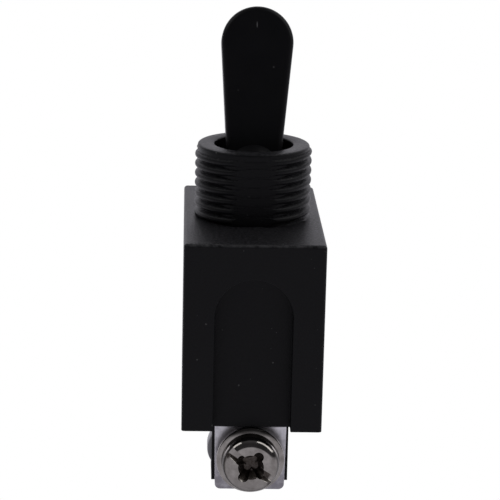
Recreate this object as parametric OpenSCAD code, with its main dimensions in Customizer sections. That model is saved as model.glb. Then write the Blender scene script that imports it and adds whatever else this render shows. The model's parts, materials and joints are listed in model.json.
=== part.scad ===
// Panel toggle switch: on-off, moulded plastic body with a threaded neck, a flat
// paddle lever and a screw terminal at each narrow end.
// Millimetres. The origin is on the neck's axis, on the face that meets the panel.
// +Z runs up the neck, +X to the right, +Y from the front terminal to the rear one.

/* [Body] */
// Width of the body, across the panel slot
body_w = 14.1; // [13:0.1:17]
// Length of the body, from one terminal end to the other
body_l = 24.8; // [24:0.1:28]
// Height of the body under the panel face
body_h = 19.4; // [18.5:0.1:22]
// Thickness of the long side walls
side_wall = 1.3; // [1:0.1:1.6]
// Thickness of the end walls
end_wall = 2.4; // [2.2:0.1:2.6]
// Thickness of the top wall around the neck
top_wall = 1.6; // [1.2:0.1:2]
// Rounding of the outer edges
edge_r = 0.35; // [0.2:0.05:0.6]
// Width of the arched recess in each end wall
recess_w = 7.8; // [7.4:0.1:8.4]
// Depth of the arched recess
recess_d = 1.5; // [1:0.1:1.6]
// Height of the arch's crown below the panel face
recess_top = 3.6; // [2.5:0.1:6]

/* [Neck] */
// Outer diameter of the thread
thread_d = 12; // [11.8:0.1:12.4]
// Pitch of the thread
thread_pitch = 1; // [0.75:0.25:1.25]
// Depth of the thread
thread_depth = 0.55; // [0.4:0.05:0.6]
// Height of the neck above the panel face
neck_h = 7.5; // [7:0.1:9]
// Diameter of the plain rim at the top
rim_d = 11.5; // [11.2:0.1:11.7]
// Height of the plain rim
rim_h = 0.75; // [0.6:0.05:1]
// Diameter of the mouth that the lever comes out of
mouth_d = 8.1; // [8:0.05:8.4]
// Distance between the two flats where the mould halves part
thread_flats = 11.2; // [11.1:0.05:11.5]
// Width of the plain strip down each flat, where the thread is left out
land_w = 4.2; // [3:0.1:4.4]

/* [Lever] */
// Height of the lever's pivot above the panel face
pivot_z = 4.4; // [4.2:0.05:4.6]
// Angle of the lever from upright at each end of its throw
lever_lean = 14; // [11:0.5:14]
// Sideways lean of the paddle, from its play on the pin
lever_side_lean = 1; // [0:0.25:1.25]
// Reach of the paddle above its pivot
paddle_reach = 17; // [14:0.1:22]
// Width of the paddle at its round tip
paddle_tip_w = 7.4; // [6.6:0.1:7.8]
// Width of the paddle at the pivot
paddle_root_w = 5.35; // [5:0.05:5.5]
// Thickness of the paddle
paddle_t = 3; // [2.4:0.1:3]
// Rounding of the paddle's edges
paddle_edge_r = 0.6; // [0.3:0.1:1]
// Diameter of the ball that the lever turns in
ball_d = 6.36; // [6.1:0.05:6.6]
// Diameter of the tail inside the body
tail_d = 4.8; // [4.4:0.1:5]
// Length of the tail below the pivot
tail_l = 11.5; // [10.5:0.1:12]
// Diameter of the pivot pin
pin_d = 1.5; // [1.2:0.1:1.6]
// Length of the pivot pin
pin_l = 9.5; // [9:0.1:9.7]

/* [Plunger] */
// Diameter of the plunger
plunger_d = 2.7; // [2.4:0.1:3]
// Length of the plunger
plunger_l = 6; // [5:0.1:6.5]
// Wire diameter of the plunger spring
spring_wire = 0.35; // [0.25:0.05:0.4]
// Turns of the plunger spring
spring_turns = 7; // [5:1:9]

/* [Rocker] */
// Depth of the rocker's pivot below the panel face
rocker_depth = 11.2; // [11:0.1:11.8]
// Length of each rocker arm
rocker_arm = 7.2; // [6.8:0.1:7.6]
// Width of the rocker
rocker_w = 4.6; // [4:0.1:5]
// Thickness of the rocker strip
rocker_t = 0.6; // [0.5:0.05:0.8]
// Upward bend of each arm
rocker_bend = 10; // [9:0.5:11]
// Tilt of the rocker from level at each end of the throw
rocker_tilt = 6; // [5:0.5:7]
// Diameter of the silver contacts
contact_d = 2.2; // [1.8:0.1:2.6]
// Thickness of a silver contact
contact_t = 0.6; // [0.5:0.05:0.8]

/* [Terminals] */
// Width of a terminal plate
plate_w = 7.3; // [6.8:0.1:7.4]
// Thickness of a terminal plate
plate_t = 0.8; // [0.6:0.1:1]
// Reach of a terminal plate below the body
plate_drop = 7.2; // [7:0.1:8]
// Rounding of the plate's lower corners
plate_corner_r = 0.6; // [0.3:0.1:1]
// Width of the block behind a terminal plate
block_w = 7.8; // [7.6:0.1:8.4]
// Thickness of that block, from the plate inwards
block_l = 4.4; // [4.2:0.1:5]
// Reach of that block below the body
block_drop = 6.5; // [6.4:0.1:7]
// Depth of the screw's axis below the body
screw_drop = 3.5; // [3.4:0.05:3.6]

/* [Screws] */
// Thread diameter of a terminal screw
screw_d = 3; // [2.6:0.1:3.2]
// Pitch of that thread, whose depth is chamfered off the screw's end
screw_pitch = 0.5; // [0.4:0.05:0.5]
// Length of the screw under its head
screw_l = 6; // [5.8:0.1:6.2]
// Diameter of the screw's head
head_d = 5.8; // [5.4:0.1:6.2]
// Height of the screw's head
head_h = 2; // [1.8:0.1:2.4]
// Width of the driver slot
slot_w = 0.9; // [0.7:0.1:1.1]
// Turn of the slot from level, seen from outside
slot_turn = 30; // [0:5:90]
// Diameter of the flat washer
washer_d = 6.9; // [6.6:0.1:7]
// Thickness of the flat washer
washer_t = 0.5; // [0.4:0.1:0.6]
// Diameter of the spring washer
spring_washer_d = 6.4; // [6:0.1:6.5]
// Thickness of the spring washer
spring_washer_t = 0.9; // [0.7:0.1:0.9]
// Height of the nut plate, across its flats
nut_h = 4.8; // [4.6:0.1:5]
// Thickness of the nut plate
nut_t = 2; // [1.8:0.1:2.1]
// How far the nut plate's round end stands out of the block
nut_proud = 0.45; // [0.2:0.05:0.6]

/* [Fits] */
// Gap between pieces that are pushed together
fit_gap = 0.05; // [0.03:0.01:0.08]
// Gap round a pin that turns in its seat
running_gap = 0.05; // [0.03:0.01:0.08]
// Gap between the two contacts when the switch is on
contact_gap = 0.1; // [0.05:0.05:0.2]
// Least gap left between the plunger's tip and the rocker
plunger_gap = 0.2; // [0.2:0.05:0.4]

/* [Hidden] */
$fn = 64;

black_plastic = [0.09, 0.09, 0.10];
lever_plastic = [0.06, 0.06, 0.065];
tinned_brass = [0.74, 0.73, 0.76];
nickel_steel = [0.62, 0.60, 0.58];
spring_steel = [0.55, 0.55, 0.57];
contact_brass = [0.80, 0.62, 0.32];
silver = [0.86, 0.86, 0.84];
nylon = [0.88, 0.86, 0.80];

cut = 0.01;               // how far a cutting shape runs past the face it opens
body_x = body_w / 2;
body_y = body_l / 2;
cavity_x = body_x - side_wall;
cavity_y = body_y - end_wall;

// Neck
crest_r = thread_d / 2;
root_r = crest_r - thread_depth;
crest_flat = thread_pitch / 4;
flank_run = thread_pitch / 3;
foot_z = crest_flat * 1.4;
thread_top = neck_h - rim_h;
ridges = floor((thread_top - foot_z - flank_run * 2 - crest_flat) / thread_pitch) + 1;
rim_chamfer = 0.2;
land_y = thread_flats / 2 - 0.08;
mouth_r = mouth_d / 2;
mouth_flare = 1.1;        // how much wider the bore is where it opens into the body
flare_top = 1.5;

// Base and terminals; the front end is drawn, the rear one is it turned half round
plate_front = body_y - (end_wall + 0.2);
plate_back = plate_front - plate_t;
base_t = 2;
base_top = -body_h + base_t;
base_x = cavity_x - fit_gap;
base_y = cavity_y - fit_gap;
screw_z = -body_h - screw_drop;
tab_w = 5.5;
nut_wall = 1;             // wall of the block in front of the nut plate, and past its end
bend_in_r = 0.3;
bend_r = plate_t + bend_in_r;

// Screws: the two washers' stack on the plate, and how far in the screw's end lies
stack_t = washer_t + spring_washer_t + 2 * fit_gap;
screw_end = plate_front + stack_t + fit_gap - screw_l;
screw_thread_depth = 0.61 * screw_pitch;

// Lever and plunger, as distances below the pivot
pin_r = pin_d / 2;
bore_r = plunger_d / 2 + fit_gap;
bore_top = ball_d / 2 - 0.4;
plunger_tip = pivot_z + rocker_depth - rocker_t / 2 - plunger_gap;
spring_coil_r = plunger_d / 2 - spring_wire / 2 - fit_gap;

// Rocker, contacts and cradle
contact_arm = rocker_arm - contact_d / 2 + 0.3;
on_slope = rocker_bend - rocker_tilt;
contact_low = rocker_t / 2 + contact_t;
contact_y = contact_arm * cos(on_slope) + contact_low * sin(on_slope);
closed_z = -rocker_depth + contact_arm * sin(on_slope) - contact_low * cos(on_slope)
    - contact_d / 2 * sin(on_slope) - contact_gap;
front_tab_top = closed_z - contact_t;
front_tab_l = plate_back - contact_y + contact_d / 2 + 0.3;
rear_tab_top = base_top + fit_gap + plate_t;
stop_y = contact_arm;
stop_l = 2;
stop_w = rocker_w - 0.4;
stop_top = -rocker_depth + (stop_y - stop_l / 2) * sin(on_slope) - rocker_t / 2 - contact_gap;
cradle_t = 0.6;
cradle_gap = 0.7;         // between the rocker's edge and each ear of its cradle
ear_x = rocker_w / 2 + cradle_gap;
ear_l = 3.2;
trunnion_r = rocker_t / 2;
trunnion_end = 0.4;       // how far each trunnion stands out past its ear
rear_tab_margin = 1;      // rear terminal's tab, past the foot of the cradle
rivet_d = 1.6;
rivet_head_d = 2.8;
rivet_head_h = 0.5;
contact_shank_d = 1.2;

// A rounded rectangle whose corners stay true arcs
module rounded_rect(w, h, r) {
    square([w - 2 * r, h], center = true);
    square([w, h - 2 * r], center = true);
    for (x = [-1, 1], y = [-1, 1])
        translate([x * (w / 2 - r), y * (h / 2 - r)]) circle(r);
}

// A block standing down from z = 0, with its upright and top edges rounded
module rounded_block(w, l, h, r) {
    tall = 2 * h;
    intersection() {
        translate([0, 0, -h]) linear_extrude(h) rounded_rect(w, l, r);
        translate([0, l / 2, -h]) rotate([90, 0, 0]) linear_extrude(l)
            rounded_rect(w, tall, r);
        translate([-w / 2, 0, -h]) rotate([90, 0, 90]) linear_extrude(w)
            rounded_rect(l, tall, r);
    }
}

// Cylinders along X and along Y
module x_cylinder(r, l) {
    rotate([0, 90, 0]) cylinder(r = r, h = l, center = true);
}

module y_cylinder(r, l) {
    rotate([-90, 0, 0]) cylinder(r = r, h = l);
}

// Puts what is drawn for the front end at the front (0) or at the rear (1)
module at_end(end) {
    rotate([0, 0, 180 * end]) children();
}

// Places what is drawn along the lever's own axis, with the pivot at its origin
module on_lever() {
    translate([0, 0, pivot_z]) rotate([-lever_lean, 0, 0]) children();
}

// Places what is drawn for a level rocker, with its pivot at the origin
module on_rocker() {
    translate([0, 0, -rocker_depth]) rotate([rocker_tilt, 0, 0]) children();
}

// ---------------------------------------------------------------- housing

module neck_profile() {
    ridge_z = [for (k = [0 : ridges - 1]) foot_z + flank_run + crest_flat / 2
        + (k + 0.35) * thread_pitch];
    polygon(concat(
        [[0, -top_wall], [crest_r, -top_wall], [crest_r, foot_z]],
        [[root_r, foot_z + flank_run]],
        [for (z = ridge_z, p = [
            [root_r, z - crest_flat / 2 - flank_run], [crest_r, z - crest_flat / 2],
            [crest_r, z + crest_flat / 2], [root_r, z + crest_flat / 2 + flank_run]])
            if (z + crest_flat / 2 + flank_run < thread_top) p],
        [[rim_d / 2, thread_top], [rim_d / 2, neck_h - rim_chamfer],
         [rim_d / 2 - rim_chamfer, neck_h], [0, neck_h]]));
}

module neck() {
    intersection() {
        union() {
            rotate_extrude() neck_profile();
            translate([-land_w / 2, -land_y, -top_wall])
                cube([land_w, 2 * land_y, top_wall + thread_top]);
        }
        translate([-thread_d, -thread_flats / 2, -top_wall])
            cube([2 * thread_d, thread_flats, top_wall + neck_h]);
    }
}

module arch_recess() {
    r = recess_w / 2;
    translate([0, -body_y - cut, -recess_top - r]) {
        y_cylinder(r, recess_d + cut);
        translate([-r, 0, -body_h]) cube([recess_w, recess_d + cut, body_h]);
    }
}

module lever_passage() {
    translate([0, 0, -top_wall - cut]) cylinder(r = mouth_r, h = top_wall + neck_h + 2 * cut);
    translate([0, 0, -top_wall - cut])
        cylinder(r1 = mouth_r + mouth_flare, r2 = mouth_r, h = top_wall + flare_top);
}

// The blind grooves in the neck's bore that the pin's ends ride up from below
module pin_grooves() {
    seat_r = pin_r + running_gap;
    groove_l = pin_l + 2 * running_gap;
    translate([0, 0, pivot_z]) x_cylinder(seat_r, groove_l);
    translate([-groove_l / 2, -seat_r, -top_wall - cut])
        cube([groove_l, 2 * seat_r, top_wall + pivot_z]);
}

module housing() {
    color(black_plastic) difference() {
        union() {
            rounded_block(body_w, body_l, body_h, edge_r);
            neck();
        }
        translate([-cavity_x, -cavity_y, -body_h - cut])
            cube([2 * cavity_x, 2 * cavity_y, body_h - top_wall + cut]);
        lever_passage();
        pin_grooves();
        for (end = [0, 1]) at_end(end) arch_recess();
    }
}

// ---------------------------------------------------------------- base

module nut_outline(gap) {
    r = nut_h / 2;
    left = -block_w / 2 - nut_proud;
    right = block_w / 2 - nut_wall;
    translate([left + r, 0]) circle(r + gap);
    translate([left + r, -r - gap]) square([right - left - r + gap, nut_h + 2 * gap]);
}

// A nut plate's place: across the block, just behind the block's front wall
module at_nut(gap) {
    front = plate_back - fit_gap - nut_wall;
    translate([0, -front + nut_t + gap, screw_z]) rotate([90, 0, 0])
        linear_extrude(nut_t + 2 * gap) nut_outline(gap);
}

module terminal_block() {
    front = plate_back - fit_gap;
    difference() {
        translate([-block_w / 2, -front, -body_h - block_drop])
            cube([block_w, block_l, block_drop + cut]);
        at_nut(fit_gap);
        translate([0, -front - cut, screw_z])
            y_cylinder(screw_d / 2 + fit_gap, front - screw_end + 0.2);
    }
}

// Room for a terminal plate, and at its top for the inside of the plate's bend
module plate_notch() {
    w = plate_w + 2 * fit_gap;
    depth = base_y - plate_back + fit_gap;
    translate([-w / 2, -base_y - cut, -body_h - cut]) cube([w, depth + cut, body_h]);
    for (top = [base_top, front_tab_top - plate_t])
        translate([-w / 2, -base_y - cut, top - bend_in_r])
            cube([w, depth + bend_in_r + cut, bend_in_r + cut]);
}

module terminal_base() {
    color(black_plastic) difference() {
        union() {
            translate([-base_x, -base_y, -body_h])
                cube([2 * base_x, 2 * base_y, base_top + body_h]);
            for (end = [0, 1]) at_end(end) terminal_block();
            // pedestal under the front tab
            translate([-tab_w / 2, -plate_back + fit_gap, base_top - cut])
                cube([tab_w, front_tab_l, front_tab_top - plate_t - fit_gap - base_top + cut]);
            // post that stops the rocker's rear arm
            translate([-stop_w / 2, stop_y - stop_l / 2, base_top - cut])
                cube([stop_w, stop_l, stop_top - base_top + cut]);
        }
        for (end = [0, 1]) at_end(end) plate_notch();
        translate([0, 0, -body_h - cut]) {
            cylinder(d = rivet_d + 2 * fit_gap, h = body_h);
            cylinder(d = rivet_head_d + 2 * fit_gap, h = rivet_head_h + fit_gap);
        }
    }
}

// ---------------------------------------------------------------- lever

module paddle() {
    tip_r = paddle_tip_w / 2;
    flat_r = tip_r - paddle_edge_r;
    half_t = paddle_t / 2 - paddle_edge_r;
    hull() {
        translate([0, 0, paddle_reach - tip_r]) rotate([90, 0, 0]) rotate_extrude($fn = 48) {
            translate([0, -paddle_t / 2]) square([flat_r, paddle_t]);
            for (s = [-1, 1]) translate([flat_r, s * half_t])
                circle(paddle_edge_r, $fn = 24);
        }
        for (x = [-1, 1], y = [-1, 1])
            translate([x * (paddle_root_w / 2 - paddle_edge_r), y * half_t, 0])
                cylinder(r = paddle_edge_r, h = 0.1, $fn = 24);
    }
}

module lever() {
    color(lever_plastic) on_lever() difference() {
        union() {
            rotate([0, lever_side_lean, 0]) paddle();
            sphere(d = ball_d);
            translate([0, 0, -tail_l]) cylinder(d = tail_d, h = tail_l);
        }
        x_cylinder(pin_r + fit_gap, ball_d + pin_d);
        translate([0, 0, -tail_l - cut]) cylinder(r = bore_r, h = tail_l - bore_top + cut);
    }
}

module lever_pin() {
    color(nickel_steel) on_lever() x_cylinder(pin_r, pin_l);
}

module plunger() {
    r = plunger_d / 2;
    color(nylon) on_lever() translate([0, 0, -plunger_tip]) {
        translate([0, 0, r]) sphere(r);
        translate([0, 0, r]) cylinder(r = r, h = plunger_l - r);
    }
}

// One ring of the spring's wire, at a fraction of its length
function coil_ring(f, top, length, sides) =
    let (
        a = 360 * spring_turns * f,
        z = -top - spring_wire / 2 - f * (length - spring_wire)
    )
    [for (s = [0 : sides - 1])
        let (b = 360 * s / sides, r = spring_coil_r + spring_wire / 2 * cos(b))
        [r * cos(a), r * sin(a), z + spring_wire / 2 * sin(b)]];

module coil_spring(top, length) {
    sides = 6;
    rings = spring_turns * 16;
    points = [for (k = [0 : rings]) each coil_ring(k / rings, top, length, sides)];
    walls = [for (k = [0 : rings - 1], s = [0 : sides - 1])
        let (t = (s + 1) % sides)
        [k * sides + s, (k + 1) * sides + s, (k + 1) * sides + t, k * sides + t]];
    start = [for (s = [0 : sides - 1]) s];
    end = [for (s = [sides - 1 : -1 : 0]) rings * sides + s];
    polyhedron(points, concat([start], walls, [end]));
}

module plunger_spring() {
    room = plunger_tip - plunger_l - bore_top;
    color(spring_steel) on_lever() coil_spring(bore_top + fit_gap, room - 2 * fit_gap);
}

// ---------------------------------------------------------------- contacts

module rocker_arm_strip(side) {
    rotate([side * rocker_bend, 0, 0])
        translate([-rocker_w / 2, side > 0 ? 0 : -rocker_arm, -rocker_t / 2])
            cube([rocker_w, rocker_arm, rocker_t]);
}

module contact_rocker() {
    color(contact_brass) on_rocker() difference() {
        union() {
            for (side = [-1, 1]) rocker_arm_strip(side);
            // round back of the bend, and the trunnions that turn in the cradle
            x_cylinder(trunnion_r, 2 * (ear_x + cradle_t + trunnion_end));
        }
        rotate([-rocker_bend, 0, 0]) translate([0, -contact_arm, -rocker_t])
            cylinder(d = contact_shank_d + 2 * fit_gap, h = 2 * rocker_t);
    }
}

module moving_contact() {
    color(silver) on_rocker() rotate([-rocker_bend, 0, 0]) translate([0, -contact_arm, 0]) {
        translate([0, 0, -rocker_t / 2 - contact_t]) cylinder(d = contact_d, h = contact_t);
        translate([0, 0, -rocker_t / 2 - cut])
            cylinder(d = contact_shank_d, h = rocker_t + cut);
    }
}

module fixed_contact() {
    color(silver) translate([0, -contact_y, front_tab_top]) {
        cylinder(d = contact_d, h = contact_t);
        translate([0, 0, -plate_t]) cylinder(d = contact_shank_d, h = plate_t + cut);
    }
}

module rocker_cradle() {
    foot = rear_tab_top + fit_gap;
    width = 2 * (ear_x + cradle_t);
    ear_top = -rocker_depth + cradle_t;
    notch_r = trunnion_r + running_gap;
    color(contact_brass) difference() {
        union() {
            translate([-width / 2, -ear_l / 2, foot]) cube([width, ear_l, cradle_t]);
            for (x = [-ear_x - cradle_t, ear_x]) translate([x, -ear_l / 2, foot])
                cube([cradle_t, ear_l, ear_top - foot]);
        }
        // round-bottomed notch in each ear
        translate([0, 0, -rocker_depth]) {
            x_cylinder(notch_r, 2 * width);
            translate([-width, -notch_r, 0]) cube([2 * width, 2 * notch_r, body_h]);
        }
        translate([0, 0, foot - cut])
            cylinder(d = rivet_d + 2 * fit_gap, h = cradle_t + 2 * cut);
    }
}

module cradle_rivet() {
    top = rear_tab_top + 2 * fit_gap + cradle_t;
    color(contact_brass) {
        translate([0, 0, -body_h]) cylinder(d = rivet_head_d, h = rivet_head_h);
        translate([0, 0, -body_h]) cylinder(d = rivet_d, h = top + body_h + cut);
        translate([0, 0, top]) cylinder(d = rivet_head_d, h = rivet_head_h);
    }
}

// ---------------------------------------------------------------- terminals

// Side view of a terminal: a plate down the end of the body, bent in at its top
module terminal_side_view(tab_top, tab_end) {
    plate_low = -body_h - plate_drop;
    translate([-plate_front, plate_low]) square([plate_t, tab_top - bend_r - plate_low]);
    translate([-plate_front + bend_r, tab_top - plate_t])
        square([plate_front - bend_r - tab_end, plate_t]);
    translate([-plate_front + bend_r, tab_top - bend_r]) intersection() {
        difference() {
            circle(bend_r);
            circle(bend_in_r);
        }
        translate([-bend_r, 0]) square(bend_r);
    }
}

// Front view: full width where the plate shows, narrower where it enters the body
module terminal_front_view() {
    r = plate_corner_r;
    low = -body_h - plate_drop;
    translate([-plate_w / 2, low + r]) square([plate_w, plate_drop + 1 - r]);
    translate([-plate_w / 2 + r, low]) square([plate_w - 2 * r, r + cut]);
    for (x = [-1, 1]) translate([x * (plate_w / 2 - r), low + r]) circle(r);
    translate([-tab_w / 2, -body_h]) square([tab_w, body_h]);
}

module terminal(tab_top, tab_end) {
    difference() {
        intersection() {
            rotate([90, 0, 90]) translate([0, 0, -plate_w / 2])
                linear_extrude(plate_w) terminal_side_view(tab_top, tab_end);
            rotate([90, 0, 0]) translate([0, 0, -body_l])
                linear_extrude(2 * body_l) terminal_front_view();
        }
        translate([0, -plate_front - cut, screw_z])
            y_cylinder(screw_d / 2 + 0.2, plate_t + 2 * cut);
    }
}

module front_terminal() {
    color(tinned_brass) difference() {
        terminal(front_tab_top, plate_back - fit_gap - front_tab_l);
        translate([0, -contact_y, front_tab_top - plate_t - cut])
            cylinder(d = contact_shank_d + 2 * fit_gap, h = plate_t + 2 * cut);
    }
}

module rear_terminal() {
    window_w = stop_w + 4 * fit_gap;
    window_l = stop_l + 4 * fit_gap;
    color(tinned_brass) difference() {
        at_end(1) terminal(rear_tab_top, -ear_l / 2 - rear_tab_margin);
        translate([-window_w / 2, stop_y - window_l / 2, base_top])
            cube([window_w, window_l, 2 * plate_t]);
        translate([0, 0, base_top]) cylinder(d = rivet_d + 2 * fit_gap, h = 2 * plate_t);
    }
}

// ---------------------------------------------------------------- screws

// Pan head with a crowned top, standing out along -Y from its seat at y = 0
module pan_head() {
    flank_r = head_h * 0.6;
    flat_r = head_d / 2 - flank_r;
    rotate([90, 0, 0]) rotate_extrude() {
        square([head_d / 2, head_h - flank_r]);
        square([flat_r, head_h]);
        translate([flat_r, head_h - flank_r]) intersection() {
            circle(flank_r);
            square(flank_r);
        }
    }
}

// A slot right across the head, crossed by a shorter, deeper four-way recess
module driver_recess() {
    slot_depth = head_h * 0.45;
    cross_depth = head_h * 0.75;
    cross_l = head_d * 0.62;
    core_d = slot_w * 2;
    translate([-head_d, -head_h - cut, -slot_w / 2])
        cube([2 * head_d, slot_depth + cut, slot_w]);
    for (a = [0, 90]) rotate([0, a, 0]) translate([-cross_l / 2, -head_h - cut, -slot_w / 2])
        cube([cross_l, cross_depth + cut, slot_w]);
    translate([0, -head_h - cut, 0]) y_cylinder(core_d / 2, cross_depth + cut);
}

// Shank standing in from the head's seat, chamfered at its end
module shank() {
    r = screw_d / 2;
    rotate([-90, 0, 0]) rotate_extrude() polygon([
        [0, -cut], [r, -cut], [r, screw_l - screw_thread_depth],
        [r - screw_thread_depth, screw_l], [0, screw_l]]);
}

module at_screw(distance) {
    translate([0, -plate_front - distance, screw_z]) children();
}

module terminal_screw(turn) {
    color(nickel_steel) at_screw(stack_t + fit_gap) difference() {
        union() {
            pan_head();
            shank();
        }
        rotate([0, turn, 0]) driver_recess();
    }
}

module flat_washer() {
    color(nickel_steel) at_screw(stack_t) difference() {
        y_cylinder(washer_d / 2, washer_t);
        translate([0, -cut, 0]) y_cylinder(screw_d / 2 + fit_gap, washer_t + 2 * cut);
    }
}

module spring_washer() {
    gap_w = 0.6;
    color(nickel_steel) at_screw(spring_washer_t + fit_gap) difference() {
        y_cylinder(spring_washer_d / 2, spring_washer_t);
        translate([0, -cut, 0]) y_cylinder(screw_d / 2 + fit_gap, spring_washer_t + 2 * cut);
        // the split, cut on the slant, below the screw
        translate([-gap_w / 2, -cut, -spring_washer_d]) rotate([0, 0, -20])
            cube([gap_w, 2 * spring_washer_t, spring_washer_d]);
    }
}

module nut_plate() {
    front = plate_back - fit_gap - nut_wall;
    color(nickel_steel) difference() {
        at_nut(0);
        translate([0, -front - cut, screw_z])
            y_cylinder(screw_d / 2 + running_gap, nut_t + 2 * cut);
    }
}

// ---------------------------------------------------------------- the switch

housing();
terminal_base();
lever();
lever_pin();
plunger();
plunger_spring();
contact_rocker();
moving_contact();
fixed_contact();
rocker_cradle();
cradle_rivet();
front_terminal();
rear_terminal();
at_end(0) terminal_screw(slot_turn);  // front_terminal_screw
at_end(1) terminal_screw(-slot_turn);  // rear_terminal_screw
at_end(0) flat_washer();  // front_washer
at_end(1) flat_washer();  // rear_washer
at_end(0) spring_washer();  // front_spring_washer
at_end(1) spring_washer();  // rear_spring_washer
at_end(0) nut_plate();  // front_nut_plate
at_end(1) nut_plate();  // rear_nut_plate
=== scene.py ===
import json
import math

import bmesh
import bpy
from mathutils import Matrix, Vector


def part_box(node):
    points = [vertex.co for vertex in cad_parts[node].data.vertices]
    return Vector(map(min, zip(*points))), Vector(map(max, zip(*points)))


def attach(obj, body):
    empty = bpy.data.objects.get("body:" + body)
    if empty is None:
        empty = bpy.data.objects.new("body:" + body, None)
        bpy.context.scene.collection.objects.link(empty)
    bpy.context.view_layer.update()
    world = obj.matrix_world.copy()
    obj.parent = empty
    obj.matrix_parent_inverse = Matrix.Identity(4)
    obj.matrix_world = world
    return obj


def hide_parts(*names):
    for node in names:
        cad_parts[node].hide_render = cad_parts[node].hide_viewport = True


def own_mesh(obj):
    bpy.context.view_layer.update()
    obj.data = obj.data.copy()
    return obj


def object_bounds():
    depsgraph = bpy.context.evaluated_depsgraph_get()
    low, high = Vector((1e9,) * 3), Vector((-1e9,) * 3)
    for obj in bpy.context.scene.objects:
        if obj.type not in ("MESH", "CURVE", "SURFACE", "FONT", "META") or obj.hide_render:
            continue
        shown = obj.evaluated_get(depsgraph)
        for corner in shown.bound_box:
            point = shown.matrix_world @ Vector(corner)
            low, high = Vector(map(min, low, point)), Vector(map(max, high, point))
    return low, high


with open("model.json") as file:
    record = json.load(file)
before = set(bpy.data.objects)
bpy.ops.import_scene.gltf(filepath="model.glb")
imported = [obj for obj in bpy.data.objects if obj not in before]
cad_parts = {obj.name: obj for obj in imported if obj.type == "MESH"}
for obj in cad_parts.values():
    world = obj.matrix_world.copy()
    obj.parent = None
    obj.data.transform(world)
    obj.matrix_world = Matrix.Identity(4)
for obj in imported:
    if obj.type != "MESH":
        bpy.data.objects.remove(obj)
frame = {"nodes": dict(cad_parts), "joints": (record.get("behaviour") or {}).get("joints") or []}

# Looks of the panel toggle switch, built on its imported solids. Lengths are in
# millimetres and become metres where a piece is made.
MM = 0.001
# corners nearer than MERGED are made one, and TOUCHING is how near counts as at a place
MERGED, TOUCHING = 0.002, 0.004
cad_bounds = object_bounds()


# ------------------------------------------------------------ modelling helpers

def deselect():
    if bpy.context.mode != "OBJECT":
        bpy.ops.object.mode_set(mode="OBJECT")
    bpy.ops.object.select_all(action="DESELECT")


def activate(piece):
    deselect()
    piece.select_set(True)
    bpy.context.view_layer.objects.active = piece


def started(name):
    """Names the primitive that was just added, and puts its place in its mesh."""
    piece = bpy.context.object
    piece.name = name
    piece.data.name = name
    bpy.ops.object.transform_apply(location=True, rotation=True, scale=True)
    return piece


def block(name, low, high):
    """A block between two corners."""
    deselect()
    low, high = Vector(low) * MM, Vector(high) * MM
    bpy.ops.mesh.primitive_cube_add(size=1, location=(low + high) / 2, scale=high - low)
    return started(name)


def rod(name, radius, start, end, sides=64, tip_radius=None):
    """A round rod, or a cone where tip_radius is given, between two points."""
    deselect()
    start, end = Vector(start) * MM, Vector(end) * MM
    way = end - start
    turn = way.to_track_quat("Z", "Y").to_euler()
    bpy.ops.mesh.primitive_cone_add(
        vertices=sides, radius1=radius * MM,
        radius2=(radius if tip_radius is None else tip_radius) * MM,
        depth=way.length, location=(start + end) / 2, rotation=turn)
    return started(name)


def ball(name, radius, centre, segments, rings):
    deselect()
    bpy.ops.mesh.primitive_uv_sphere_add(
        segments=segments, ring_count=rings, radius=radius * MM, location=Vector(centre) * MM)
    return started(name)


def line(name, points):
    """An open line through points, drawn by extruding from one corner."""
    deselect()
    points = [Vector(p) * MM for p in points]
    bpy.ops.mesh.primitive_plane_add(size=MM, location=points[0])
    piece = started(name)
    bpy.ops.object.mode_set(mode="EDIT")
    bpy.ops.mesh.select_mode(type="VERT")
    bpy.ops.mesh.select_all(action="SELECT")
    bpy.ops.mesh.merge(type="CENTER")
    for a, b in zip(points, points[1:]):
        bpy.ops.mesh.extrude_region_move(TRANSFORM_OT_translate={"value": b - a})
    bpy.ops.object.mode_set(mode="OBJECT")
    return piece


def prism(name, outline, depth):
    """A solid with a drawn outline, extruded by a vector."""
    piece = line(name, outline)
    edit(piece)
    bpy.ops.mesh.select_all(action="SELECT")
    bpy.ops.mesh.edge_face_add()
    bpy.ops.mesh.extrude_region_move(TRANSFORM_OT_translate={"value": Vector(depth) * MM})
    done()
    return tidy(piece)


def arc(centre, radius, start, end, count):
    """Points round an arc in the plane of X and Z, by angles in degrees."""
    turns = [math.radians(start + (end - start) * i / count) for i in range(count + 1)]
    return [(centre[0] + radius * math.cos(a), centre[1],
             centre[2] + radius * math.sin(a)) for a in turns]


def pick(piece, kind, test):
    """In edit mode, selects only the corners, edges or faces that pass a test."""
    bpy.ops.mesh.select_mode(type=kind)
    bpy.ops.mesh.select_all(action="DESELECT")
    mesh = bmesh.from_edit_mesh(piece.data)
    for part in {"VERT": mesh.verts, "EDGE": mesh.edges, "FACE": mesh.faces}[kind]:
        if test(part):
            part.select_set(True)
    mesh.select_flush_mode()
    bmesh.update_edit_mesh(piece.data)


def edit(piece):
    activate(piece)
    bpy.ops.object.mode_set(mode="EDIT")


def done():
    bpy.ops.object.mode_set(mode="OBJECT")


def tidy(piece):
    """Merges corners that coincide and turns every face outwards."""
    edit(piece)
    bpy.ops.mesh.select_mode(type="VERT")
    bpy.ops.mesh.select_all(action="SELECT")
    bpy.ops.mesh.remove_doubles(threshold=MERGED * MM)
    bpy.ops.mesh.normals_make_consistent(inside=False)
    done()
    return piece


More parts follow.
